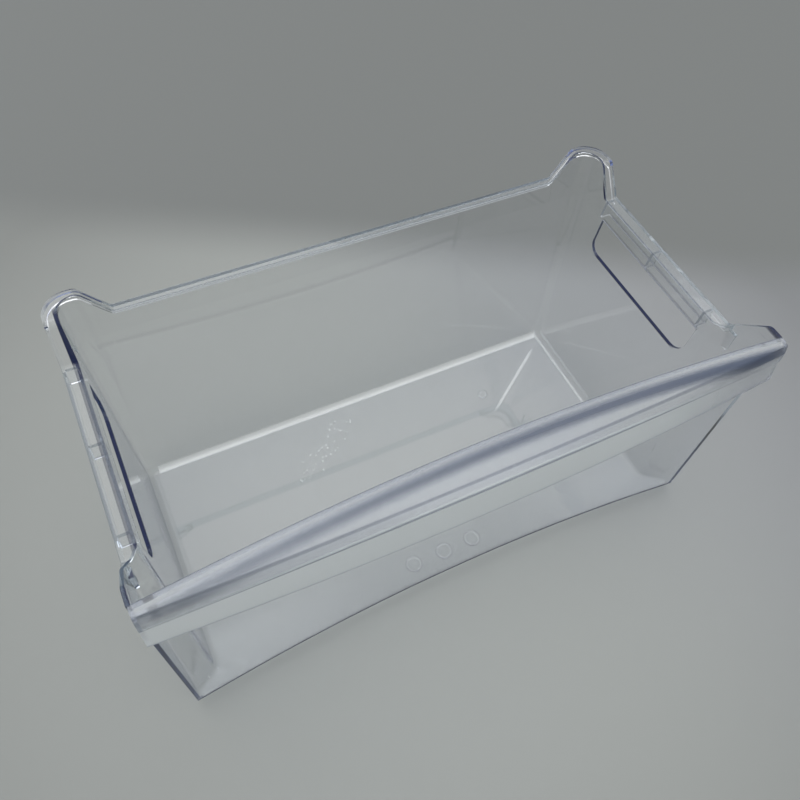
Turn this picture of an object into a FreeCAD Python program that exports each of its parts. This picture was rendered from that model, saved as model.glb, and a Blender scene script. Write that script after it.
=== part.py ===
import FreeCAD, Part
import math
import os
import Sketcher

# Freezer drawer: a clear moulded basket with a frosted handle strip welded along its front wall.
# Working axes: x across the drawer, y from the front corners to the back, z up from the underside.

doc = FreeCAD.newDocument("FreezerDrawer")
sheet = doc.addObject("Spreadsheet::Sheet", "Sizes")

# Driving dimensions in millimetres.
DIMENSIONS = [
    # Basket outline at the underside, outside faces.
    ("floor_side_x", "203.6", "side wall, half width at the underside"),
    ("floor_back_y", "202.2", "back wall at the underside"),
    ("floor_fold_y", "20.9", "fold where the side wall turns out into the wing"),
    ("floor_wing_x", "221.4", "outer corner of the wing"),
    ("floor_wing_y", "9.5", "outer corner of the wing"),
    ("floor_front_x", "221", "front corner"),
    ("floor_front_y", "0", "front corner"),
    ("front_bow", "12", "how far the front wall bows back at mid width"),
    # The same outline at the top of the loft, which the rim profile trims.
    ("loft_top", "216", "height of the upper outline"),
    ("side_draft", "0.0683", "outward lean of the side walls"),
    ("back_draft", "0.128", "outward lean of the back wall"),
    ("fold_lean", "0.158", "backward lean of the fold line"),
    ("top_wing_x", "226.8", "outer corner of the wing"),
    ("top_wing_y", "41", "outer corner of the wing"),
    ("top_front_x", "226.4", "front corner"),
    ("top_front_y", "3.6", "front corner"),
    # Rounds of the outline, at the underside and at the top.
    ("floor_back_round", "10", "back corner"),
    ("top_back_round", "15", "back corner"),
    ("fold_round", "6", "fold"),
    ("floor_wing_round", "7", "outer corner of the wing"),
    ("top_wing_round", "8", "outer corner of the wing"),
    # Moulding thicknesses and rounds.
    ("wall", "2.4", "wall thickness"),
    ("floor_thick", "2.6", "floor thickness"),
    ("foot_round", "8.5", "round under the outer bottom edge at the sides and back"),
    ("inner_round", "6.2", "round where the floor meets those walls inside"),
    ("wing_foot_round", "6", "round under the outer bottom edge at the wings"),
    ("wing_inner_round", "3", "round where the floor meets the wings inside"),
    # Rim heights, seen from the side and from the back.
    ("rail_top", "184.5", "top of the side rails"),
    ("back_top", "186", "top of the back rim"),
    ("ear_top", "208", "top of the raised rear corners"),
    ("wing_top", "211.4", "top of the front wings"),
    ("ear_foot_y", "190", "where an ear's side slope meets the rail"),
    ("ear_head_y", "208.5", "where an ear's side slope meets its top"),
    ("ear_foot_x", "182", "where an ear's rear slope meets the back rim"),
    ("ear_head_x", "200.5", "where an ear's rear slope meets its top"),
    ("slope_foot_y", "43", "where the wing's slope meets the rail"),
    ("slope_head_y", "16.5", "where the wing's slope meets its top"),
    ("crest_round", "7", "round at the head of each slope"),
    ("valley_round", "4", "round at the foot of each slope"),
    # Rim flange with its turned-down lip.
    ("flange_side_x", "225.2", "outer edge of the flange beside the rails"),
    ("flange_low_back_y", "230.3", "outer edge of the flange at the back rim"),
    ("flange_high_back_y", "233", "outer edge of the flange at the ears"),
    ("flange_round", "19", "outer corner of the flange"),
    ("flange_thick", "2.2", "flange thickness"),
    ("lip_thick", "2", "lip thickness"),
    ("lip_drop", "7", "lip height, with the flange"),
    # Side rails.
    ("rail_low", "168", "lower edge of the rail and top of the side window"),
    ("rib_thick", "2", "thickness of the cross plates"),
    ("rib_front_y", "59", "front end plate"),
    ("rib_mid_y", "124", "middle rib"),
    ("rib_rear_y", "187", "rear end plate"),
    # Side windows.
    ("window_front_y", "57", "front edge"),
    ("window_back_y", "184", "back edge"),
    ("window_low", "136", "lower edge"),
    ("window_front_round", "13", "lower front corner"),
    ("window_back_round", "10", "lower back corner"),
    # Stop block inside each wing.
    ("stop_x", "220.6", "inner face"),
    ("stop_front_y", "32", "front face"),
    ("stop_back_y", "39", "back face"),
    ("stop_low", "168", "lower face"),
    # Moulding marks on the floor.
    ("disc_d", "13.9", "three plain discs near the front"),
    ("disc_pitch", "27.7", "their spacing"),
    ("disc_x", "0.9", "middle disc"),
    ("disc_y", "31.4", "middle disc"),
    ("gate_d", "9.5", "gate mark"),
    ("gate_x", "111.3", "gate mark"),
    ("gate_y", "155.6", "gate mark"),
    ("mark_height", "0.4", "how far the marks stand up"),
    # Handle strip, at its ends and how much each value grows to mid width.
    ("wall_seat", "201.5", "top edge of the front wall, under the strip's leg"),
    ("strip_end_x", "225.4", "half length of the strip"),
    ("strip_rear_y", "6", "rear edge of the strip at its ends"),
    ("strip_rear_bow", "11.8", "rear edge, growth to mid width"),
    ("strip_top", "211.9", "rear edge height"),
    ("ridge_y", "-1.2", "ridge at the front of the top, at the ends"),
    ("ridge_bow", "-2.8", "ridge, growth to mid width"),
    ("ridge_z", "211.6", "ridge height at the ends"),
    ("ridge_rise", "-1.2", "ridge height, growth to mid width"),
    ("ridge_round", "2.5", "length of the rounded ridge on each side of it"),
    ("step_y", "-3.6", "step line at the ends"),
    ("step_bow", "-7.2", "step line, growth to mid width"),
    ("step_z", "195.5", "step line height at the ends"),
    ("step_rise", "11.5", "step line height, growth to mid width"),
    ("skirt_y", "-6.4", "lower edge of the skirt at the ends"),
    ("skirt_bow", "-7.6", "lower edge, growth to mid width"),
    ("skirt_low", "177.5", "lower edge height"),
    ("top_crown", "0.08", "bulge of the strip's top, as a share of its width"),
    ("face_crown", "0.04", "bulge of the face from the ridge to the step, as a share of its height"),
    ("under_ridge_y", "1.4", "how far the hollow's ridge lies behind the outer one"),
    ("ledge", "0.7", "how far the skirt is set in under the step line"),
    ("strip_thick", "2.3", "strip thickness"),
    ("lap_top", "204.5", "where the leg's lap over the front wall ends above"),
    ("leg_low", "196", "lower edge of the lap"),
    ("cap_thick", "2.2", "end caps of the strip"),
    # Reach of the cutting shapes.
    ("beyond", "300", "clear of every face"),
    ("ahead_y", "-60", "in front of every face"),
    ("seat_x", "223.9", "inner faces of the wings beside the strip"),
    ("notch_y", "150", "where the back notch starts"),
]

# Values that follow from them.
DERIVED = [
    ("top_side_x", "=floor_side_x + side_draft * loft_top"),
    ("top_back_y", "=floor_back_y + back_draft * loft_top"),
    ("top_fold_y", "=floor_fold_y + fold_lean * loft_top"),
    ("middle_y", "=(flange_high_back_y + skirt_y + skirt_bow) / 2"),
    ("cavity_x", "=strip_end_x - cap_thick"),
    ("flange_front_y", "=slope_foot_y - 6"),
    ("low_front_round", "=(floor_front_x ^ 2 + front_bow ^ 2) / (2 * front_bow)"),
    ("top_front_round", "=(top_front_x ^ 2 + front_bow ^ 2) / (2 * front_bow)"),
]

row = 1
for alias, value, note in DIMENSIONS:
    sheet.set("A%d" % row, alias)
    sheet.set("B%d" % row, value)
    sheet.set("C%d" % row, note)
    sheet.setAlias("B%d" % row, alias)
    row += 1
for alias, formula in DERIVED:
    sheet.set("A%d" % row, alias)
    sheet.set("B%d" % row, formula)
    sheet.setAlias("B%d" % row, alias)
    row += 1
doc.recompute()


def cell(alias):
    """Value of a sheet cell; a leading minus sign turns it round."""
    if alias.startswith("-"):
        return -float(sheet.get(alias[1:]))
    return float(sheet.get(alias))


def formula(alias):
    """The same cell as an expression."""
    if alias.startswith("-"):
        return "-Sizes." + alias[1:]
    return "Sizes." + alias


FLAT = FreeCAD.Rotation()
FROM_SIDE = FreeCAD.Rotation(FreeCAD.Vector(1, 1, 1), 120)
FROM_FRONT = FreeCAD.Rotation(FreeCAD.Vector(1, 0, 0), 90)
START, END = 1, 2
ORIGIN = -1


def end_near(sketch, geometry, point):
    """Which end of a line or arc lies at the point."""
    gap = (sketch.getPoint(geometry, START) - point).Length
    return START if gap < (sketch.getPoint(geometry, END) - point).Length else END


def tie_radius(sketch, geometry, alias):
    """Radius of an arc, read from the sheet."""
    index = sketch.addConstraint(Sketcher.Constraint("Radius", geometry, cell(alias)))
    sketch.setExpression("Constraints[%d]" % index, formula(alias))


def tie_place(sketch, geometry, place, x, y):
    """Position of a point, read from the sheet."""
    for kind, alias in (("DistanceX", x), ("DistanceY", y)):
        index = sketch.addConstraint(Sketcher.Constraint(
            kind, ORIGIN, START, geometry, place, cell(alias)))
        sketch.setExpression("Constraints[%d]" % index, formula(alias))


def outline(name, corners, turn=FLAT, height=None, front_round=None, shift=None):
    """Closed outline through corners (x alias, y alias, round alias or None), tied to the sheet.

    With front_round, the last side, from the last corner to the first, is an arc bowed inwards.
    """
    sketch = doc.addObject("Sketcher::SketchObject", name)
    sketch.Placement = FreeCAD.Placement(FreeCAD.Vector(), turn)
    if height:
        sketch.setExpression("Placement.Base.z", formula(height))
    if shift:
        sketch.setExpression("Placement.Base.y", formula(shift))
    points = [FreeCAD.Vector(cell(x), cell(y), 0) for x, y, r in corners]
    count = len(points)
    arrive = list(points)
    leave = list(points)
    rounds = {}
    for i, (x, y, r) in enumerate(corners):
        if not r:
            continue
        before = (points[i - 1] - points[i]).normalize()
        after = (points[(i + 1) % count] - points[i]).normalize()
        half = before.getAngle(after) / 2
        arrive[i] = points[i] + before * (cell(r) / math.tan(half))
        leave[i] = points[i] + after * (cell(r) / math.tan(half))
        away = (before + after).normalize()
        crest = points[i] + away * (cell(r) / math.sin(half) - cell(r))
        rounds[i] = Part.Arc(arrive[i], crest, leave[i])
    sides = []
    for i in range(count):
        j = (i + 1) % count
        side = Part.LineSegment(leave[i], arrive[j])
        if front_round and j == 0:
            radius = cell(front_round)
            half_chord = (arrive[j] - leave[i]).Length / 2
            depth = radius - math.sqrt(radius ** 2 - half_chord ** 2)
            crest = (leave[i] + arrive[j]) / 2 + FreeCAD.Vector(0, depth, 0)
            side = Part.Arc(leave[i], crest, arrive[j])
        sides.append(sketch.addGeometry(side, False))
    if front_round:
        tie_radius(sketch, sides[-1], front_round)
    for i, (x, y, r) in enumerate(corners):
        last, following = sides[i - 1], sides[i]
        last_end = end_near(sketch, last, arrive[i])
        next_end = end_near(sketch, following, leave[i])
        if i in rounds:
            arc = sketch.addGeometry(rounds[i], False)
            arc_in = end_near(sketch, arc, arrive[i])
            arc_out = END if arc_in == START else START
            corner = sketch.addGeometry(Part.Point(points[i]), True)
            sketch.addConstraint(Sketcher.Constraint("Tangent", last, last_end, arc, arc_in))
            sketch.addConstraint(Sketcher.Constraint("Tangent", arc, arc_out, following, next_end))
            sketch.addConstraint(Sketcher.Constraint("PointOnObject", corner, START, last))
            sketch.addConstraint(Sketcher.Constraint("PointOnObject", corner, START, following))
            tie_radius(sketch, arc, r)
            tie_place(sketch, corner, START, x, y)
        else:
            sketch.addConstraint(Sketcher.Constraint("Coincident", last, last_end, following, next_end))
            tie_place(sketch, following, next_end, x, y)
    return sketch


def loft(name, sections, ruled=True):
    solid = doc.addObject("Part::Loft", name)
    solid.Sections = sections
    solid.Solid = True
    solid.Ruled = ruled
    return solid


def inset(name, source, amount):
    """Outline set in by an amount from the sheet."""
    smaller = doc.addObject("Part::Offset2D", name)
    smaller.Source = source
    smaller.Join = "Intersection"
    smaller.setExpression("Value", "-Sizes." + amount)
    return smaller


def prism(name, sketch, direction, ahead, behind=None):
    """Sketch pushed along a direction."""
    solid = doc.addObject("Part::Extrusion", name)
    solid.Base = sketch
    solid.DirMode = "Custom"
    solid.Dir = FreeCAD.Vector(*direction)
    solid.Solid = True
    solid.setExpression("LengthFwd", ahead)
    if behind:
        solid.setExpression("LengthRev", behind)
    return solid


def block(name, x_low, x_high, y_low, y_high, z_low, z_high):
    """Box between six expressions."""
    box = doc.addObject("Part::Box", name)
    for axis, size, low, high in (("x", "Length", x_low, x_high), ("y", "Width", y_low, y_high),
                                  ("z", "Height", z_low, z_high)):
        box.setExpression("Placement.Base." + axis, low)
        box.setExpression(size, "(%s) - (%s)" % (high, low))
    return box


def disc(name, diameter, x, y):
    """Plain disc that is sunk in the floor for half its height."""
    mark = doc.addObject("Part::Cylinder", name)
    mark.setExpression("Radius", "Sizes.%s / 2" % diameter)
    mark.setExpression("Height", "Sizes.mark_height * 2")
    mark.setExpression("Placement.Base.x", x)
    mark.setExpression("Placement.Base.y", y)
    mark.setExpression("Placement.Base.z", "Sizes.floor_thick - Sizes.mark_height")
    return mark


def cut(name, base, tool):
    result = doc.addObject("Part::Cut", name)
    result.Base = base
    result.Tool = tool
    return result


def common(name, base, tool):
    result = doc.addObject("Part::Common", name)
    result.Base = base
    result.Tool = tool
    return result


def fuse(name, shapes):
    result = doc.addObject("Part::MultiFuse", name)
    result.Shapes = shapes
    return result


def rounded(name, base, level, wide, narrow):
    """Fillet along the level edges at a height, but not the front one: wide at the sides and back,
    narrow at the wings and changing from one to the other round the folds."""
    doc.recompute()
    result = doc.addObject("Part::Fillet", name)
    result.Base = base
    picked = []
    for number, edge in enumerate(base.Shape.Edges, 1):
        box = edge.BoundBox
        is_level = abs(box.ZMin - level) < 0.01 and abs(box.ZMax - level) < 0.01
        if is_level and box.YMax > cell("floor_front_y") + cell("wing_inner_round") / 2:
            radii = [cell(narrow if abs(end.X) > cell("floor_side_x") + cell("wall") / 4 else wide)
                     for end in (edge.Vertexes[0], edge.Vertexes[-1])]
            picked.append((number, *radii))
    result.Edges = picked
    return result


def mirrored(corners):
    """Corners on the right, front to back, then the same on the left, back to front."""
    return corners + [("-" + x, y, r) for x, y, r in reversed(corners)]


# The tub: one outline at the underside and one above the rim, joined by straight walls.
floor_outline = outline("FloorOutline", mirrored([
    ("floor_front_x", "floor_front_y", None),
    ("floor_wing_x", "floor_wing_y", "floor_wing_round"),
    ("floor_side_x", "floor_fold_y", "fold_round"),
    ("floor_side_x", "floor_back_y", "floor_back_round"),
]), front_round="low_front_round")
top_outline = outline("TopOutline", mirrored([
    ("top_front_x", "top_front_y", None),
    ("top_wing_x", "top_wing_y", "top_wing_round"),
    ("top_side_x", "top_fold_y", "fold_round"),
    ("top_side_x", "top_back_y", "top_back_round"),
]), height="loft_top", front_round="top_front_round")
outer_loft = loft("OuterLoft", [floor_outline, top_outline])
inner_loft = loft("InnerLoft", [inset("FloorInset", floor_outline, "wall"),
                                inset("TopInset", top_outline, "wall")])
above_floor = block("AboveFloor", "-Sizes.beyond", "Sizes.beyond", "Sizes.ahead_y", "Sizes.beyond",
                    "Sizes.floor_thick", "Sizes.beyond")
hollow = common("Hollow", inner_loft, above_floor)


outer_round = rounded("OuterRound", outer_loft, 0, "foot_round", "wing_foot_round")
hollow_round = rounded("HollowRound", hollow, cell("floor_thick"), "inner_round", "wing_inner_round")


def air_above_rim(name, drop):
    """Everything above the rim, lowered by a drop: side profile and back notch together."""
    side = outline(name + "Side", [
        ("ahead_y", "wing_top", None),
        ("slope_head_y", "wing_top", "crest_round"),
        ("slope_foot_y", "rail_top", "valley_round"),
        ("ear_foot_y", "rail_top", "valley_round"),
        ("ear_head_y", "ear_top", "crest_round"),
        ("beyond", "ear_top", None),
        ("beyond", "beyond", None),
        ("ahead_y", "beyond", None),
    ], turn=FROM_SIDE, height=drop)
    back = outline(name + "Back", mirrored([
        ("ear_foot_x", "back_top", "valley_round"),
        ("ear_head_x", "ear_top", "crest_round"),
        ("beyond", "ear_top", None),
        ("beyond", "beyond", None),
    ]), turn=FROM_FRONT, height=drop, shift="beyond")
    sideways = prism(name + "AcrossSides", side, (1, 0, 0), "Sizes.beyond", "Sizes.beyond")
    backwards = prism(name + "AcrossBack", back, (0, -1, 0), "Sizes.beyond - Sizes.notch_y")
    return fuse(name, [sideways, backwards])


air = air_above_rim("Air", None)
air_at_flange = air_above_rim("AirAtFlange", "-flange_thick")
air_at_lip = air_above_rim("AirAtLip", "-lip_drop")

# The rim flange: an outer block from the wings round the back, kept only near the rim.
flange_low = outline("FlangeLow", mirrored([
    ("flange_side_x", "flange_front_y", None),
    ("flange_side_x", "flange_low_back_y", "flange_round"),
]), height="back_top")
flange_high = outline("FlangeHigh", mirrored([
    ("flange_side_x", "flange_front_y", None),
    ("flange_side_x", "flange_high_back_y", "flange_round"),
]), height="ear_top")
flange_base = outline("FlangeBase", mirrored([
    ("flange_side_x", "flange_front_y", None),
    ("flange_side_x", "flange_low_back_y", "flange_round"),
]), height="window_low")
flange_block = loft("FlangeBlock", [flange_base, flange_low, flange_high])
flange_core = loft("FlangeCore", [inset("CoreBase", flange_base, "lip_thick"),
                                  inset("CoreLow", flange_low, "lip_thick"),
                                  inset("CoreHigh", flange_high, "lip_thick")])
flange_plate = common("FlangePlate", flange_block, air_at_flange)
lip_ring = cut("LipRing", flange_block, flange_core)
lip = common("Lip", lip_ring, air_at_lip)

# Beside the windows the lip reaches down to the rail's lower edge, on which the drawer slides.
rail_skirts = common("RailSkirts", lip_ring, block(
    "RailSpan", "-Sizes.beyond", "Sizes.beyond", "Sizes.rib_front_y",
    "Sizes.rib_rear_y + Sizes.rib_thick", "Sizes.rail_low", "Sizes.beyond"))

# Cross plates of the side rails, from side to side before the hollow is cut.
plates = [block("Plate_" + place, "-Sizes.flange_side_x", "Sizes.flange_side_x",
                "Sizes.%s" % place, "Sizes.%s + Sizes.rib_thick" % place,
                "Sizes.rail_low", "Sizes.beyond")
          for place in ("rib_front_y", "rib_mid_y", "rib_rear_y")]

# Side windows, cut through both walls at once.
window = prism("Window", outline("WindowOutline", [
    ("window_front_y", "window_low", "window_front_round"),
    ("window_back_y", "window_low", "window_back_round"),
    ("window_back_y", "rail_low", None),
    ("window_front_y", "rail_low", None),
], turn=FROM_SIDE), (1, 0, 0), "Sizes.beyond", "Sizes.beyond")

# Seat of the handle strip: the front wall stops lower than the wings.
seat = fuse("Seat", [
    block("SeatBetweenWings", "-Sizes.seat_x", "Sizes.seat_x", "Sizes.ahead_y",
          "Sizes.floor_fold_y", "Sizes.wall_seat", "Sizes.beyond"),
    block("SeatCorners", "-Sizes.beyond", "Sizes.beyond", "Sizes.ahead_y",
          "Sizes.strip_rear_y", "Sizes.wall_seat", "Sizes.beyond"),
])

# A small stop block stands in the corner of each wing.
stops = common("Stops", outer_loft, fuse("StopPair", [
    block("StopRight", "Sizes.stop_x", "Sizes.beyond", "Sizes.stop_front_y",
          "Sizes.stop_back_y", "Sizes.stop_low", "Sizes.rail_top"),
    block("StopLeft", "-Sizes.beyond", "-Sizes.stop_x", "Sizes.stop_front_y",
          "Sizes.stop_back_y", "Sizes.stop_low", "Sizes.rail_top"),
]))

marks = [disc("DiscLeft", "disc_d", "Sizes.disc_x - Sizes.disc_pitch", "Sizes.disc_y"),
         disc("DiscMiddle", "disc_d", "Sizes.disc_x", "Sizes.disc_y"),
         disc("DiscRight", "disc_d", "Sizes.disc_x + Sizes.disc_pitch", "Sizes.disc_y"),
         disc("GateMark", "gate_d", "Sizes.gate_x", "Sizes.gate_y")]

solid_form = fuse("SolidForm", [outer_round, flange_plate, lip, rail_skirts] + plates)
trimmed = cut("Trimmed", cut("Hollowed", solid_form, hollow_round),
              fuse("Openings", [air, window, seat]))
basket = fuse("basket", [trimmed, stops] + marks)
basket.Label = "basket"
basket.setExpression("Placement.Base.y", "-Sizes.middle_y")
doc.recompute()


def bulged(first, last, share):
    """Arc of a section, from rear to front, that bulges outwards by a share of its length."""
    span = last - first
    rise = FreeCAD.Vector(0, span.z, -span.y) * cell(share)
    return Part.Arc(first, (first + last) / 2 + rise, last).toShape()


class StripLines:
    """Where the strip's lengthwise lines cross the section at x."""

    def __init__(self, x):
        share = 1 - (x / cell("strip_end_x")) ** 2

        def grown(at_ends, growth):
            return cell(at_ends) + cell(growth) * share

        self.x = x
        self.rear = grown("strip_rear_y", "strip_rear_bow")
        self.wall_face = self.rear - cell("wall")
        self.brow = self.point(self.rear, cell("strip_top"))
        self.ridge = self.point(grown("ridge_y", "ridge_bow"), grown("ridge_z", "ridge_rise"))
        self.step = self.point(grown("step_y", "step_bow"), grown("step_z", "step_rise"))
        self.low = self.point(grown("skirt_y", "skirt_bow"), cell("skirt_low"))

    def point(self, y, z):
        return FreeCAD.Vector(self.x, y, z)


def strip_outside(x):
    """The strip's outer form at x, closed through the middle of the front wall."""
    lines = StripLines(x)
    before = lines.ridge + (lines.brow - lines.ridge).normalize() * cell("ridge_round")
    after = lines.ridge + (lines.step - lines.ridge).normalize() * cell("ridge_round")
    buried = lines.wall_face + cell("wall") / 2
    sides = Part.makePolygon([
        lines.step,
        lines.point(lines.step.y + cell("ledge"), lines.step.z - cell("ledge")),
        lines.low,
        lines.point(buried, lines.low.z),
        lines.point(buried, cell("wall_seat")),
        lines.point(lines.rear, cell("wall_seat")),
        lines.brow])
    return Part.Wire([bulged(lines.brow, before, "top_crown"),
                      Part.Arc(before, (before + after + lines.ridge * 2) / 4, after).toShape(),
                      bulged(after, lines.step, "face_crown")] + sides.Edges)


def strip_hollow(x):
    """The open space under the strip at x, which leaves a leg that laps over the front wall's top edge."""
    lines = StripLines(x)
    thick = cell("strip_thick")
    lap_face = lines.wall_face - thick
    under_brow = lines.point(lines.wall_face, cell("strip_top") - thick)
    under_ridge = lines.ridge + FreeCAD.Vector(0, cell("under_ridge_y"), -thick)
    under_step = lines.step + FreeCAD.Vector(0, thick, -thick / 2)
    below = lines.low.z - thick
    sides = Part.makePolygon([
        under_step,
        lines.point(lines.low.y + thick, below),
        lines.point(lines.rear, below),
        lines.point(lines.rear, cell("leg_low")),
        lines.point(lap_face, cell("leg_low")),
        lines.point(lap_face, cell("lap_top") - thick),
        lines.point(lines.wall_face, cell("lap_top")),
        under_brow])
    return Part.Wire([bulged(under_brow, under_ridge, "top_crown"),
                      bulged(under_ridge, under_step, "face_crown")] + sides.Edges)


def strip_loft(section, half):
    """Smooth loft through seven sections, symmetric about mid width."""
    places = [half * share for share in (-1, -0.75, -0.4, 0, 0.4, 0.75, 1)]
    return Part.makeLoft([section(x) for x in places], True, False)


# The handle strip: crowned top, ridge, skirt and rear leg, closed by a cap at each end.
strip_form = strip_loft(strip_outside, cell("strip_end_x")).cut(
    strip_loft(strip_hollow, cell("cavity_x")))
wall_block = outer_loft.Shape.common(Part.makeBox(
    2 * cell("beyond"), cell("beyond"), cell("wall_seat"),
    FreeCAD.Vector(-cell("beyond"), cell("ahead_y"), 0)))
handle = doc.addObject("Part::Feature", "handle_strip")
handle.Label = "handle_strip"
handle.Shape = strip_form.cut(wall_block)
handle.Placement = FreeCAD.Placement(FreeCAD.Vector(0, -cell("middle_y"), 0), FLAT)
doc.recompute()

# Every feature has to be sound before anything is written.
for item in doc.Objects:
    if "Invalid" in item.State or "Error" in item.State:
        raise RuntimeError("failed: " + item.Name)
NODES = [basket, handle]
for node in NODES:
    shape = node.Shape
    if shape.isNull() or not shape.isValid():
        raise RuntimeError("bad shape: " + node.Label)
    box = shape.optimalBoundingBox(True, False)
    print(node.Label, "solids", len(shape.Solids), "volume", round(shape.Volume),
          "x", round(box.XMin, 1), round(box.XMax, 1), "y", round(box.YMin, 1), round(box.YMax, 1),
          "z", round(box.ZMin, 1), round(box.ZMax, 1))

os.makedirs("parts", exist_ok=True)
for node in NODES:
    node.Shape.exportStep("parts/%s.step" % node.Label)
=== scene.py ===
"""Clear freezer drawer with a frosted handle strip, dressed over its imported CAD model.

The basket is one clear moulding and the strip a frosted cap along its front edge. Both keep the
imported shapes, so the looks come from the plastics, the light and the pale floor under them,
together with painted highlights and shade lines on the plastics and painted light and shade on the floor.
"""

import functools
import math
from typing import NamedTuple

import bmesh
import bpy
from mathutils import Matrix, Quaternion, Vector


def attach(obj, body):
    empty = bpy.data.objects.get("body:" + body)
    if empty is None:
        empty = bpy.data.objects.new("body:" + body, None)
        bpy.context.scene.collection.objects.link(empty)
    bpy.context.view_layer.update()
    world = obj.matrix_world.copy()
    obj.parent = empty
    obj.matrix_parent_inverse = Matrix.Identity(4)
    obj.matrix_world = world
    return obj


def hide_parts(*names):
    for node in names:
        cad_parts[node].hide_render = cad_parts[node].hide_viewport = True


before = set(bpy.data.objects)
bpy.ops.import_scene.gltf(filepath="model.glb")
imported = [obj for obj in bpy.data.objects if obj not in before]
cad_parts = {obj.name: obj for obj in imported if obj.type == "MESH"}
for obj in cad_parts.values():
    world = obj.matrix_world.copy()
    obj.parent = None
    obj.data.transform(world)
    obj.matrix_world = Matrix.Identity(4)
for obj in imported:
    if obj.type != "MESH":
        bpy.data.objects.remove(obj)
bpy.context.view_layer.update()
STRIP_END_X = max(corner[0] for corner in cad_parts["handle_strip"].bound_box)

bl_info = {
    "name": "Freezer Drawer",
    "version": (1, 0, 0),
    "blender": (4, 5, 0),
    "location": "3D View > Sidebar > Freezer Drawer",
    "description": "Dresses a clear freezer drawer with a frosted handle strip, on a pale, softly lit floor",
    "category": "Object",
}


class Wire:
    """A node's output socket in an expression: arithmetic on it adds Math nodes."""

    def __init__(self, tree, socket):
        self.tree, self.socket = tree, socket

    def joined(self, operation, first, second, clamp=False):
        node = self.tree.nodes.new("ShaderNodeMath")
        node.operation, node.use_clamp = operation, clamp
        for value, target in zip((first, second), node.inputs):
            if isinstance(value, Wire):
                self.tree.links.new(value.socket, target)
            elif value is not None:
                target.default_value = value
        return Wire(self.tree, node.outputs[0])

    def __add__(self, other): return self.joined("ADD", self, other)
    def __radd__(self, other): return self.joined("ADD", other, self)
    def __sub__(self, other): return self.joined("SUBTRACT", self, other)
    def __rsub__(self, other): return self.joined("SUBTRACT", other, self)
    def __mul__(self, other): return self.joined("MULTIPLY", self, other)
    def __rmul__(self, other): return self.joined("MULTIPLY", other, self)
    def __truediv__(self, other): return self.joined("DIVIDE", self, other)
    def __rtruediv__(self, other): return self.joined("DIVIDE", other, self)
    def __pow__(self, other): return self.joined("POWER", self, other)
    def __abs__(self): return self.joined("ABSOLUTE", self, None)
    def clamped(self): return self.joined("ADD", self, 0.0, clamp=True)
    def least(self, other): return self.joined("MINIMUM", self, other)
    def most(self, other): return self.joined("MAXIMUM", self, other)

    def step(self, low, high):
        """0 below low, 1 above high and smooth between them, or the reverse where low is above high."""
        node = self.tree.nodes.new("ShaderNodeMapRange")
        node.interpolation_type = "SMOOTHSTEP"
        self.tree.links.new(self.socket, node.inputs["Value"])
        rises = low < high
        for name, value in (("From Min", min(low, high)), ("From Max", max(low, high)),
                            ("To Min", 0 if rises else 1), ("To Max", 1 if rises else 0)):
            node.inputs[name].default_value = value
        return Wire(self.tree, node.outputs["Result"])

    def more_than(self, count):
        """1 where this whole number is more than count, and 0 elsewhere."""
        return self.step(count + 0.4, count + 0.6)


class Fade(NamedTuple):
    """A mask along one line: 0 up to none, 1 from full on. It rises or falls, whichever of them is first."""

    none: float
    full: float

    def over(self, wire):
        return wire.step(self.none, self.full)


class Band(NamedTuple):
    """A mask along one line: 1 within half of the middle, 0 where the distance from it is over faded."""

    middle: float
    half: float
    faded: float

    def over(self, wire):
        return abs(wire - self.middle).step(self.faded, self.half)


def patch(lines, masks):
    """1 where all the masks overlap. Each goes by the name of the line that it is over."""
    return functools.reduce(Wire.__mul__, (mask.over(lines[name]) for name, mask in masks.items()))


def strongest(shares):
    """The largest of several shares."""
    return functools.reduce(Wire.most, shares)


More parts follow.
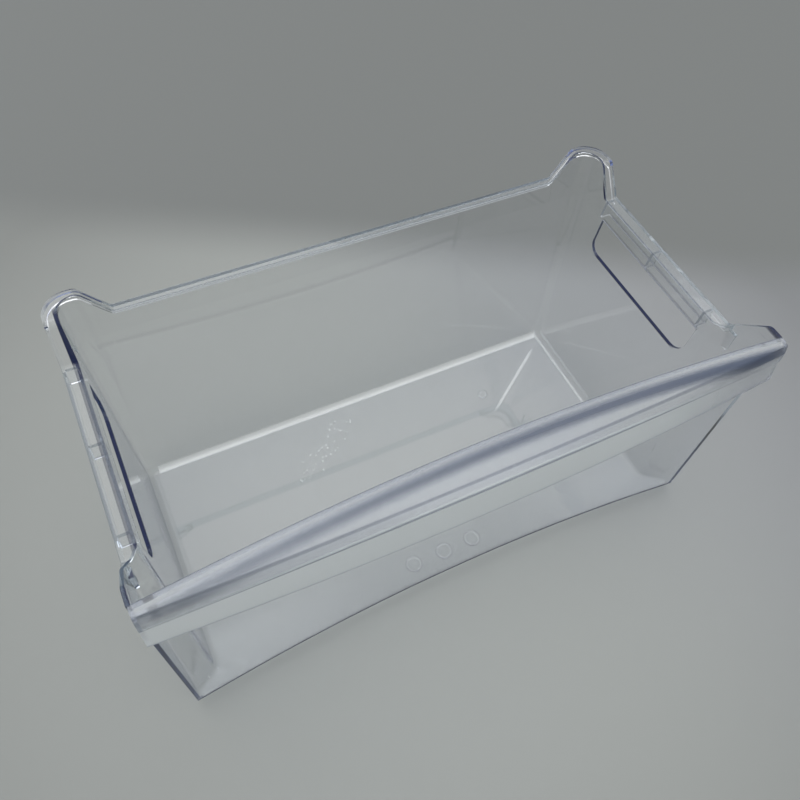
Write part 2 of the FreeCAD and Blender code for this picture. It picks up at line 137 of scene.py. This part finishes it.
class Finish:
    """A material, or the world, whose nodes are added one by one."""

    def __init__(self, holder):
        holder.use_nodes = True
        self.holder, self.tree = holder, holder.node_tree
        self.tree.nodes.clear()

    def node(self, kind, settings=None, output=0, **sockets):
        """One node of that kind: its settings first, then its sockets' values or links, by name.

        An underscore in a socket's name stands for a space.
        """
        made = self.tree.nodes.new("ShaderNode" + kind)
        for name, value in (settings or {}).items():
            if name == "stops":
                while len(made.color_ramp.elements) < len(value):
                    made.color_ramp.elements.new(0.5)
                for element, (position, tone) in zip(made.color_ramp.elements, value):
                    element.position, element.color = position, tone
            else:
                setattr(made, name, value)
        for name, value in sockets.items():
            target = self.socket(made, name)
            if isinstance(value, Wire):
                self.tree.links.new(value.socket, target)
            else:
                target.default_value = value
        return Wire(self.tree, made.outputs[output]) if made.outputs else None

    @staticmethod
    def socket(made, name):
        """The input of that name which is in use: a Mix node has one of each name for each kind of value."""
        words = name.replace("_", " ")
        found = [s for s in made.inputs if s.enabled and (s.name == words or s.identifier == name)]
        if not found:
            raise KeyError(f"{made.bl_idname} has no socket {words!r}")
        return found[0]

    def mixed(self, share, first, second):
        """Two colours mixed by a share."""
        return self.node("Mix", {"data_type": "RGBA"}, output=2, Factor=share, A=first, B=second)

    def shaded(self, share, first, second):
        """Two surfaces mixed by a share."""
        return self.node("MixShader", Fac=share, Shader=first, Shader_001=second)

    def transparent(self, colour):
        """A surface that lets light straight through and tints it."""
        return self.node("BsdfTransparent", Color=(*colour, 1))

    def light_path(self, fact):
        """What Light Path says of the ray that is being followed."""
        return self.node("LightPath", output=fact)

    def own_place(self):
        """The piece's own coordinates in metres."""
        return self.node("TexCoord", output="Object")

    def axes(self):
        """The piece's own x, y and z in metres, one by one."""
        place = self.own_place()
        return [self.node("SeparateXYZ", output=axis, Vector=place) for axis in "XYZ"]

    def pattern_place(self, stretch=(1, 1, 1), turn=(0, 0, 0)):
        """The same coordinates, stretched or turned for a pattern."""
        return self.node("Mapping", Vector=self.own_place(), Scale=stretch, Rotation=turn)

    def noise(self, scale, detail=2.0, stretch=(1, 1, 1), turn=(0, 0, 0)):
        """Soft noise from 0 to 1, with that many spots to a metre."""
        return self.node("TexNoise", Vector=self.pattern_place(stretch, turn), Scale=scale, Detail=detail)

    def finished(self, output="OutputMaterial", **shaders):
        """The material or world, once its shaders are linked to the sockets of its output."""
        self.node(output, **shaders)
        return self.holder


def linear(colour):
    """Linear red, green, blue and alpha of a colour given as it shows."""
    return tuple(c / 12.92 if c <= 0.04045 else ((c + 0.055) / 1.055) ** 2.4 for c in colour) + (1.0,)


def colour_prop(name, description, default):
    """A colour that the user can change."""
    return bpy.props.FloatVectorProperty(
        name=name, description=description, subtype="COLOR", size=3, min=0, max=1, default=default)


def share_prop(name, description, default):
    """A share from 0 to 1 that the user can change."""
    return bpy.props.FloatProperty(
        name=name, description=description, subtype="FACTOR", min=0, max=1, default=default)


def length_prop(name, description, default, **limits):
    """A length or place in metres that the user can change."""
    return bpy.props.FloatProperty(
        name=name, description=description, unit="LENGTH", default=default, **limits)


class DrawerPlastics(bpy.types.PropertyGroup):
    """The two plastics."""

    clear_tint: colour_prop(
        "Clear Tint", "Colour that a long way through the clear plastic takes on", (0.15, 0.36, 0.62))
    clear_density: bpy.props.FloatProperty(
        name="Clear Density", description="How much light a metre of the clear plastic takes", min=0,
        default=14.0)
    clear_ior: bpy.props.FloatProperty(
        name="Clear IOR", description="How much the clear plastic bends light", min=1, max=2, default=1.57)
    clear_roughness: share_prop("Clear Roughness", "Roughness of the polished walls", 0.015)
    wall_tint: colour_prop(
        "Wall Tint", "Colour that light trapped in a wall leaves with", (0.74, 0.77, 0.79))
    edge_tint: colour_prop(
        "Edge Tint", "Colour that light trapped in the rim or a rail's lip leaves with", (0.10, 0.13, 0.26))
    # Painted highlights: the pale marks, glints and disc rings on the clear moulding are painted light.
    painted_highlight_colour: colour_prop(
        "Lit Colour", "Colour of the pale marks on the clear moulding", (0.95, 0.96, 0.93))
    # Painted shade: the dark lines along the windows, corners and foot stand in for shade.
    painted_shade_colour: colour_prop(
        "Line Colour", "Colour of the dark lines along its windows, corners and foot", (0.012, 0.018, 0.062))
    clear_shadow: colour_prop(
        "Clear Shadow", "Colour of the lamps' light behind a wall of the basket", (0.985, 0.988, 0.992))
    frosted_colour: colour_prop("Frosted Colour", "Colour of the strip's haze", (0.83, 0.868, 0.866))
    frosted_roughness: share_prop("Frosted Roughness", "Roughness of the strip's fine grain", 0.22)
    frosted_haze: share_prop(
        "Frosted Haze", "Share of the light that the strip scatters instead of passing on", 0.10)
    skirt_haze: share_prop("Skirt Haze", "The same share on the strip's hanging skirt", 0.62)
    frosted_shadow: colour_prop(
        "Frosted Shadow", "Colour of the lamps' light behind the strip", (0.92, 0.93, 0.95))
    # Painted shade on the strip: a dark band where the front wall's top edge shows through, and dark lines.
    wall_edge_shade_y: length_prop(
        "Seam Y", "Where the wall's top edge shows through the strip, at the strip's ends", -0.1147)
    wall_edge_shade_bow: length_prop("Seam Bow", "How far that edge bows back from there to mid width", 0.0145)
    strip_shade_colour: colour_prop("Seam Colour", "Colour of the lines along the strip", (0.060, 0.082, 0.138))
    wall_edge_shade_share: share_prop("Seam Share", "How strongly the wall's top edge shows", 0.75)


class DrawerStage(bpy.types.PropertyGroup):
    """The floor, the lamps and the camera."""

    floor_colour: colour_prop("Floor Colour", "Colour of the floor as it shows", (0.665, 0.676, 0.664))
    cool_colour: colour_prop("Cool Colour", "Colour of the floor on the right", (0.660, 0.669, 0.678))
    # Painted shade: the floor behind the drawer is darkened with this colour.
    far_shade_colour: colour_prop(
        "Sweep Colour", "Colour of the darker floor behind the drawer", (0.492, 0.502, 0.497))
    far_shade_start: length_prop(
        "Sweep Start", "How far behind the drawer's middle the darker floor begins", 0.288)
    # Painted light falloff: the floor is mixed towards black with distance from the drawer.
    painted_falloff: bpy.props.FloatProperty(
        name="Floor Falloff", description="Share of black, for each square metre of distance squared", min=0,
        default=1.5)
    painted_falloff_limit: share_prop("Falloff Limit", "Largest share of black, far from the drawer", 0.36)
    floor_size: length_prop("Floor Size", "Side of the square floor", 12.0, min=1)
    floor_gap: length_prop("Floor Gap", "How far the floor lies under the drawer", 0.0004, min=0)
    ceiling_power: bpy.props.FloatProperty(
        name="Ceiling Power", description="Power of the large lamp overhead", unit="POWER", min=0, default=50)
    window_power: bpy.props.FloatProperty(
        name="Window Power", description="Power of the cool lamp behind", unit="POWER", min=0, default=12)
    camera_place: bpy.props.FloatVectorProperty(
        name="Camera Place", description="Where the camera stands", subtype="TRANSLATION", size=3,
        default=(-0.1803, -0.2634, 0.6017))
    camera_target: bpy.props.FloatVectorProperty(
        name="Camera Target", description="What the camera looks at", subtype="TRANSLATION", size=3,
        default=(0.0353, 0.0732, 0.0))
    camera_roll: bpy.props.FloatProperty(
        name="Camera Roll", description="How far the camera is turned about its line of sight",
        subtype="ANGLE", default=math.radians(7.8))
    lens: bpy.props.FloatProperty(
        name="Lens", description="Focal length in millimetres on a 36 mm sensor", default=33.9, min=1)


# Places on the clear moulding, in metres.
FLOOR_SKIN = Fade(0.0095, 0.0080)           # heights of the floor and its rounds
SIDE_WALLS = Fade(0.19, 0.20)
RIM = {"z": Band(0.17675, 0.01025, 0.01175)}
RAIL_LIP = {"side": Fade(0.2195, 0.2215), "z": Fade(0.188, 0.185)}
# The painted highlight streak in the rear corner: its end and heading.
STREAK_END, STREAK_HEADING = (0.188, 0.0761), (0.824, 0.567)
FOOT_Y, FOOT_BOW = -0.0979, -0.2477         # the foot's front: y at mid width, and its change with x squared
EAR_START, EAR_SLOPE, EAR_TOP = (0.0805, 0.1845), 1.27, 0.208       # a raised corner: y and z of its foot

# The moulded discs: the centre and radius of each, the painted highlight ring inside its edge and the
# painted shade ring on it.
DISCS = (((-0.0271, -0.0782), 0.0068), ((0.0014, -0.0785), 0.0068), ((0.0288, -0.0779), 0.0068),
         ((0.1115, 0.0463), 0.0040))
PALE_RING, PALE_RING_SHARE = Band(-0.0010, 0.0003, 0.0012), 0.07
DARK_RING, DARK_RING_SHARE = Band(0, 0.0002, 0.0007), 0.10

# Painted glints on the floor: the centre, heading and half sizes of each field, and how the glints fill it.
GLINT_FIELDS = (((-0.050, 0.053), (0.8, 0.6), (0.04472, 0.01291)),
                ((-0.192, -0.097), (1.0, 0.0), (0.02582, 0.01054)))
GLINT_CELLS, GLINT_SHARE = 230.0, 0.5       # cells to a metre
CHOSEN_CELLS, GLINT_DOT, FIELD_EDGE = Fade(0.60, 0.64), Fade(0.2, 0.1), Fade(1.2, 0.3)

# Painted light on the clear moulding: painted highlights and a painted sheen of reflection, then painted
# shade lines and bands. The share of each, and its masks by the names that basket_lines gives.
RIGHT_ROUND_Y, WINDOW_Y = Band(0.045, 0.045, 0.047), Band(0.0115, 0.050, 0.058)
EAR_EDGE = {"over_ear": Fade(-0.0030, -0.0020), "z": Fade(0.1835, 0.1855), "y": Fade(0.114, 0.104)}
PAINTED_HIGHLIGHTS = {
    "back round": (
        0.42, {"y": Band(0.0887, 0.0020, 0.0026), "x": Band(0.002, 0.1937, 0.1955), "z": FLOOR_SKIN}),
    "right round's inner edge": (
        0.22, {"x": Band(0.1975, 0.0003, 0.0009), "y": RIGHT_ROUND_Y, "z": FLOOR_SKIN}),
    "right round's outer edge": (
        0.22, {"x": Band(0.2037, 0.0003, 0.0009), "y": RIGHT_ROUND_Y, "z": FLOOR_SKIN}),
    "streak in the rear corner": (
        0.20, {"across": Band(0, 0.0002, 0.0022), "along": Band(-0.046, 0.030, 0.047), "z": FLOOR_SKIN}),
    "sheen along the front": (
        0.07, {"z": Fade(0.005, 0.004), "y": Fade(-0.050, -0.075), "side": Fade(0.04, 0.17)}),
}
# Painted shade: dark lines and a dark band standing in for shade along edges, a round and the foot.
PAINTED_SHADE_MARKS = {
    "front foot": (
        0.85, {"foot": Band(0, 0.0013, 0.0019), "z": Fade(0.0080, 0.0070)}),
    "left round": (
        0.03, {"x": Band(-0.1995, 0.0045, 0.0060), "y": Band(0.036, 0.049, 0.051), "z": FLOOR_SKIN}),
    "windows' lower edges": (
        0.90, {"z": Band(0.1361, 0.0007, 0.0013), "y": WINDOW_Y, "side": SIDE_WALLS}),
    "left window's lower edge": (
        0.90, {"z": Band(0.1355, 0.0018, 0.0024), "x": Fade(0, -0.1), "y": WINDOW_Y, "side": SIDE_WALLS}),
    "windows' upper edges": (
        0.25, {"z": Band(0.1684, 0.0008, 0.0016), "y": Band(0.011, 0.062, 0.065), "side": SIDE_WALLS}),
    "wings' upper ends": (
        0.60, {"side": Fade(0.2225, 0.2238), "z": Fade(0.2078, 0.2090), "y": Fade(-0.080, -0.096)}),
    "left raised corner": (
        0.95, {"x": Band(-0.2150, 0.0024, 0.0030), **EAR_EDGE}),
    "right raised corner": (
        0.95, {"x": Band(0.2138, 0.0004, 0.0010), **EAR_EDGE}),
}


def turned(x, y, centre, heading):
    """How far each place is from the centre along the heading, and across it."""
    ahead, aside = x - centre[0], y - centre[1]
    return ahead * heading[0] + aside * heading[1], ahead * heading[1] - aside * heading[0]


def basket_lines(finish):
    """The lines that the clear moulding's masks are over, by name."""
    x, y, z = finish.axes()
    along, across = turned(x, y, STREAK_END, STREAK_HEADING)
    ear = ((y - EAR_START[0]) * EAR_SLOPE + EAR_START[1]).least(EAR_TOP)
    return {"x": x, "y": y, "z": z, "side": abs(x), "along": along, "across": across,
            "foot": y - (x * x * FOOT_BOW + FOOT_Y), "over_ear": z - ear}


def disc_rings(lines):
    """Shares of painted highlight just inside the moulded discs' edges, and of painted shade on the edges."""
    pale, dark = [], []
    for centre, radius in DISCS:
        ahead, aside = lines["x"] - centre[0], lines["y"] - centre[1]
        past_edge = (ahead * ahead + aside * aside) ** 0.5 - radius
        pale.append(PALE_RING.over(past_edge))
        dark.append(DARK_RING.over(past_edge))
    on_floor = FLOOR_SKIN.over(lines["z"])
    return strongest(pale) * on_floor * PALE_RING_SHARE, strongest(dark) * on_floor * DARK_RING_SHARE


def glints(finish, lines):
    """Share of painted highlight: fine glints in their fields on the floor."""
    cells = {"settings": {"voronoi_dimensions": "2D"}, "Vector": finish.pattern_place(), "Scale": GLINT_CELLS}
    chance = finish.node("SeparateXYZ", Vector=finish.node("TexVoronoi", output="Color", **cells))
    dots = GLINT_DOT.over(finish.node("TexVoronoi", output="Distance", **cells))
    reaches = []
    for centre, heading, (half_length, half_width) in GLINT_FIELDS:
        along, across = turned(lines["x"], lines["y"], centre, heading)
        reaches.append((along / half_length) ** 2 + (across / half_width) ** 2)
    inside = FIELD_EDGE.over(functools.reduce(Wire.least, reaches))
    return dots * CHOSEN_CELLS.over(chance) * inside * FLOOR_SKIN.over(lines["z"]) * GLINT_SHARE


def clear_marks(finish, lines):
    """Shares of pale and of dark over the clear moulding.

    Pale are the painted highlights of their table, the rings just inside the moulded discs' edges and the
    glints. Dark is the painted shade of its table and of the discs' edges.
    """
    pale_rings, dark_rings = disc_rings(lines)
    pale = [patch(lines, masks) * share for share, masks in PAINTED_HIGHLIGHTS.values()]
    dark = [patch(lines, masks) * share for share, masks in PAINTED_SHADE_MARKS.values()]
    return strongest([*pale, pale_rings, glints(finish, lines)]), strongest([*dark, dark_rings])


# The clear plastic's surface: shares of its bump, and which noise makes a scuff or a scuffed area.
WAVE_HEIGHT, RIPPLE_HEIGHT = 0.8, 0.06
SCUFF, SCUFFED_AREA, SCUFF_ROUGHNESS = Fade(0.62, 0.72), Fade(0.5, 0.7), 0.05


def clear_plastic(look):
    """Clear polystyrene: faint waves from moulding, fine scuffs, a blue that shows only edge-on, painted
    highlights and painted shade lines.

    Light trapped between the faces of a wall would end black when the renderer stops following it. So it
    leaves with a tint on its third bounce or its eighth turn, and in the rim on its first bounce.
    """
    finish = Finish(bpy.data.materials.new("clear_plastic"))
    lines = basket_lines(finish)
    wave, ripple = finish.noise(scale=14.0, detail=1.0), finish.noise(scale=60.0, stretch=(1, 1, 0.35))
    bump = finish.node("Bump", Strength=0.02, Distance=0.002,
                       Height=wave * WAVE_HEIGHT + ripple * RIPPLE_HEIGHT)
    scuffs = SCUFF.over(finish.noise(scale=420.0, detail=3.0, stretch=(1, 0.08, 1), turn=(0, 0, 0.5)))
    scuffed_area = SCUFFED_AREA.over(finish.noise(scale=9.0))
    roughness = scuffs * scuffed_area * SCUFF_ROUGHNESS + look.clear_roughness
    glass = finish.node(
        "BsdfPrincipled", Base_Color=(1, 1, 1, 1), Roughness=roughness, IOR=look.clear_ior,
        Transmission_Weight=1.0, Normal=bump)
    painted_highlight = finish.node("BsdfPrincipled", Base_Color=(*look.painted_highlight_colour, 1), Roughness=0.3)
    painted_shade = finish.node(
        "BsdfPrincipled", Base_Color=(*look.painted_shade_colour, 1), Roughness=0.5, Specular_IOR_Level=0.15)
    # Painted light: pale mixes in the painted highlights, dark the painted shade lines.
    pale, dark = clear_marks(finish, lines)
    body = finish.shaded(dark, finish.shaded(pale, glass, painted_highlight), painted_shade)
    rim, rail_lip = patch(lines, RIM), patch(lines, RAIL_LIP)
    bounces = finish.light_path("Glossy Depth")
    trapped = strongest([bounces.more_than(2), finish.light_path("Ray Depth").more_than(7),
                         bounces.more_than(0) * rim])
    tinted = finish.shaded(
        rim.most(rail_lip), finish.transparent(look.edge_tint), finish.transparent(look.wall_tint))
    leaving = finish.shaded(
        finish.light_path("Transparent Depth").more_than(0), tinted, finish.transparent((1, 1, 1)))
    surface = finish.shaded(finish.light_path("Is Shadow Ray"), finish.shaded(trapped, body, leaving),
                            finish.transparent(look.clear_shadow))
    depth = finish.node("VolumeAbsorption", Color=(*look.clear_tint, 1), Density=look.clear_density)
    return finish.finished(Surface=surface, Volume=depth)


# Lines that bow along the frosted strip: y or z in metres at its ends, and how much more at mid width.
REAR_EDGE, RIDGE = (-0.1035, 0.0118), (-0.1107, -0.0028)
STEP_HEIGHT, FRONT_FACE = (0.1955, 0.0115), (-0.1131, -0.0072)

# Painted shade on the frosted strip, by the names that strip_lines gives: dark lines along its edges, ridge
# and step, and a dark band where the front wall's top edge shows through the strip: its strength at mid
# width, and how much that grows over a metre to the right.
WALL_EDGE_SHADE, WALL_EDGE_SHADE_MIDDLE, WALL_EDGE_SHADE_GROWTH = {"wall_edge_shade": Band(0, 0, 0.0068), "z": Fade(0.200, 0.206)}, 0.82, 2.0
SKIRT = {"above_step": Fade(0.0002, -0.0006), "front": Fade(0.0035, 0.0025), "x": Fade(0.25, 0.07)}
STRIP_SHADE_LINES = {
    "rear edge": (0.55, {"rear_edge": Band(0, 0.0003, 0.0007), "z": Fade(0.208, 0.210)}),
    "ridge": (0.45, {"ridge": Band(0, 0.0002, 0.0014), "z": Fade(0.207, 0.209)}),
    "step": (0.50, {"above_step": Band(0, 0.0003, 0.0010), "front": Fade(0.0012, 0.0008)}),
    "lower edge": (0.35, {"z": Fade(0.1792, 0.1782)}),
}
GRAIN_ROUGHNESS = 0.06


def strip_lines(finish, look):
    """The lines that the frosted strip's masks are over, by name."""
    x, y, z = finish.axes()
    middle = 1 - (x / STRIP_END_X) ** 2

    def bowed(at_ends, bow):
        return middle * bow + at_ends

    return {"x": x, "z": z, "wall_edge_shade": y - bowed(look.wall_edge_shade_y, look.wall_edge_shade_bow),
            "rear_edge": y - bowed(*REAR_EDGE), "ridge": y - bowed(*RIDGE),
            "above_step": z - bowed(*STEP_HEIGHT), "front": y - bowed(*FRONT_FACE)}


def frosted_plastic(look):
    """Frosted plastic: a fine even grain that blurs what is behind it, a haze, and painted shade lines
    along the strip.
    """
    finish = Finish(bpy.data.materials.new("frosted_plastic"))
    lines = strip_lines(finish, look)
    grain = finish.noise(scale=2600.0)
    bump = finish.node("Bump", Strength=0.12, Distance=0.0002, Height=grain)
    glass = finish.node(
        "BsdfPrincipled", Base_Color=(0.97, 0.975, 0.985, 1), IOR=1.5, Transmission_Weight=1.0, Normal=bump,
        Roughness=grain * GRAIN_ROUGHNESS + look.frosted_roughness)
    haze = finish.node("BsdfPrincipled", Base_Color=(*look.frosted_colour, 1), Roughness=0.3)
    dark = finish.node("BsdfPrincipled", Base_Color=(*look.strip_shade_colour, 1), Roughness=0.3)
    # Painted shade: a dark band for the front wall's top edge, and dark lines along the strip's edges.
    wall_edge_shade = (patch(lines, WALL_EDGE_SHADE) * (lines["x"] * WALL_EDGE_SHADE_GROWTH + WALL_EDGE_SHADE_MIDDLE) * look.wall_edge_shade_share).clamped()
    painted_strip_shade = strongest([wall_edge_shade, *(patch(lines, masks) * share for share, masks in STRIP_SHADE_LINES.values())])
    milk = (patch(lines, SKIRT) * look.skirt_haze).most(look.frosted_haze)
    body = finish.shaded(painted_strip_shade, finish.shaded(milk, glass, haze), dark)
    surface = finish.shaded(finish.light_path("Is Shadow Ray"), body, finish.transparent(look.frosted_shadow))
    return finish.finished(Surface=surface)


# The floor's cooler side and its painted shade behind the drawer: which way each lies, and over which
# metres it comes in.
COOL_HEADING, COOL_RISE = (1.0, 0.2), Fade(0.0, 0.42)
FAR_SHADE_HEADING, FAR_SHADE_RISE = (0.47, 0.88), Fade(-0.05, 0.045)


def pale_floor(stage):
    """Matt paper, cooler to the right, darker with distance by a painted light falloff, and greyer behind the
    drawer by painted shade.
    """
    finish = Finish(bpy.data.materials.new("pale_floor"))
    x, y, _ = finish.axes()
    aside = COOL_RISE.over(x * COOL_HEADING[0] + y * COOL_HEADING[1])
    # Painted shade: the floor behind the drawer is mixed towards the darker colour.
    far_shade = FAR_SHADE_RISE.over(x * FAR_SHADE_HEADING[0] + y * FAR_SHADE_HEADING[1] - stage.far_shade_start)
    # Painted light: a pool of light round the drawer, mixed towards black with distance.
    painted_light_falloff = ((x * x + y * y) * stage.painted_falloff).least(stage.painted_falloff_limit)
    near = finish.mixed(aside, linear(stage.floor_colour), linear(stage.cool_colour))
    near = finish.mixed(painted_light_falloff, near, linear((0, 0, 0)))
    tone = finish.mixed(far_shade, near, linear(stage.far_shade_colour))
    matt = finish.node("BsdfPrincipled", Base_Color=tone, Roughness=0.7, Specular_IOR_Level=0.2)
    return finish.finished(Surface=matt)


def moulding(node, name, material):
    """The node's shape as one closed skin that keeps its true normals, standing for the node."""
    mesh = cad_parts[node].data.copy()
    mesh.name = name
    facing = [corner.vector.copy() for corner in mesh.corner_normals]
    skin = bmesh.new()
    skin.from_mesh(mesh)
    bmesh.ops.remove_doubles(skin, verts=skin.verts, dist=2e-6)
    skin.to_mesh(mesh)
    skin.free()
    if len(mesh.loops) != len(facing):
        raise RuntimeError(f"{node} lost faces when its skin was closed")
    mesh.normals_split_custom_set(facing)
    mesh.materials.clear()
    mesh.materials.append(material)
    piece = bpy.data.objects.new(name, mesh)
    bpy.context.scene.collection.objects.link(piece)
    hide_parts(node)
    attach(piece, "root")


def lamp(name, place, aim, size, power, colour=(1, 1, 1)):
    """A soft area lamp at place that faces aim."""
    light = bpy.data.lights.new(name, "AREA")
    light.shape, light.size, light.size_y = "RECTANGLE", *size
    light.energy, light.color = power, colour
    fixture = bpy.data.objects.new(name, light)
    fixture.location = place
    fixture.rotation_mode = "QUATERNION"
    fixture.rotation_quaternion = (Vector(aim) - Vector(place)).to_track_quat("-Z", "Y")
    bpy.context.scene.collection.objects.link(fixture)


class FREEZERDRAWER_OT_basket(bpy.types.Operator):
    """Dress the clear basket"""

    bl_idname = "freezer_drawer.basket"
    bl_label = "Clear Basket"

    def execute(self, context):
        look = context.scene.drawer_plastics
        moulding("basket", "clear_basket", clear_plastic(look))
        return {"FINISHED"}


class FREEZERDRAWER_OT_handle(bpy.types.Operator):
    """Dress the frosted strip along the front edge"""

    bl_idname = "freezer_drawer.handle"
    bl_label = "Frosted Strip"

    def execute(self, context):
        look = context.scene.drawer_plastics
        moulding("handle_strip", "frosted_strip", frosted_plastic(look))
        return {"FINISHED"}


class FREEZERDRAWER_OT_stage(bpy.types.Operator):
    """Set the pale floor, the soft lamps and the camera"""

    bl_idname = "freezer_drawer.stage"
    bl_label = "Floor, Lamps and Camera"

    def execute(self, context):
        stage = context.scene.drawer_stage
        self.floor(stage)
        self.lamps(stage)
        self.camera(stage)
        context.scene.view_settings.view_transform = "Standard"
        return {"FINISHED"}

    def floor(self, stage):
        sheet = bmesh.new()
        bmesh.ops.create_grid(sheet, x_segments=1, y_segments=1, size=stage.floor_size / 2)
        mesh = bpy.data.meshes.new("floor")
        sheet.to_mesh(mesh)
        sheet.free()
        mesh.materials.append(pale_floor(stage))
        mesh.transform(Matrix.Translation((0, 0, -stage.floor_gap)))
        floor = bpy.data.objects.new("floor", mesh)
        bpy.context.scene.collection.objects.link(floor)

    def lamps(self, stage):
        """A large lamp overhead, a cool one behind and an even sky, a little darker low down."""
        lamp("ceiling_lamp", (0.2, 0.3, 3.0), (0, 0, 0), (4.5, 4.5), stage.ceiling_power)
        lamp("window_lamp", (-1.2, 2.4, 1.8), (0, 0, 0.1), (2.2, 1.4), stage.window_power, (0.96, 0.98, 1.0))
        world = bpy.context.scene.world or bpy.data.worlds.new("studio")
        bpy.context.scene.world = world
        finish = Finish(world)
        height = finish.node("SeparateXYZ", output="Z", Vector=finish.node("TexCoord", output="Generated"))
        low, middle, high = (0.52, 0.53, 0.54, 1), (0.60, 0.61, 0.62, 1), (0.68, 0.69, 0.70, 1)
        sky = finish.node("ValToRGB", {"stops": [(0.0, low), (0.4, middle), (1.0, high)]}, Fac=height)
        finish.finished("OutputWorld", Surface=finish.node("Background", Color=sky, Strength=1.0))

    def camera(self, stage):
        lens = bpy.data.cameras.new("camera")
        lens.sensor_fit, lens.sensor_width, lens.lens = "HORIZONTAL", 36.0, stage.lens
        lens.clip_start = 0.01
        viewer = bpy.data.objects.new("camera", lens)
        place = Vector(stage.camera_place)
        viewer.location = place
        viewer.rotation_mode = "QUATERNION"
        viewer.rotation_quaternion = ((Vector(stage.camera_target) - place).to_track_quat("-Z", "Y")
                                      @ Quaternion((0, 0, 1), stage.camera_roll))
        bpy.context.scene.collection.objects.link(viewer)
        bpy.context.scene.camera = viewer


class FREEZERDRAWER_PT_sidebar(bpy.types.Panel):
    """Sizes, colours and the operators that make the drawer's pieces and its stage"""

    bl_idname = "FREEZERDRAWER_PT_sidebar"
    bl_label = "Freezer Drawer"
    bl_space_type = "VIEW_3D"
    bl_region_type = "UI"
    bl_category = "Freezer Drawer"

    def draw(self, context):
        for group in (context.scene.drawer_plastics, context.scene.drawer_stage):
            for name in group.__annotations__:
                self.layout.prop(group, name)
        for operator in OPERATORS:
            self.layout.operator(operator.bl_idname)


OPERATORS = (FREEZERDRAWER_OT_basket, FREEZERDRAWER_OT_handle, FREEZERDRAWER_OT_stage)
CLASSES = (DrawerPlastics, DrawerStage, *OPERATORS, FREEZERDRAWER_PT_sidebar)


def register():
    for each in CLASSES:
        bpy.utils.register_class(each)
    bpy.types.Scene.drawer_plastics = bpy.props.PointerProperty(type=DrawerPlastics)
    bpy.types.Scene.drawer_stage = bpy.props.PointerProperty(type=DrawerStage)


def unregister():
    del bpy.types.Scene.drawer_stage
    del bpy.types.Scene.drawer_plastics
    for each in reversed(CLASSES):
        bpy.utils.unregister_class(each)


def main():
    register()
    bpy.ops.freezer_drawer.basket()
    bpy.ops.freezer_drawer.handle()
    bpy.ops.freezer_drawer.stage()


if __name__ == "__main__":
    main()
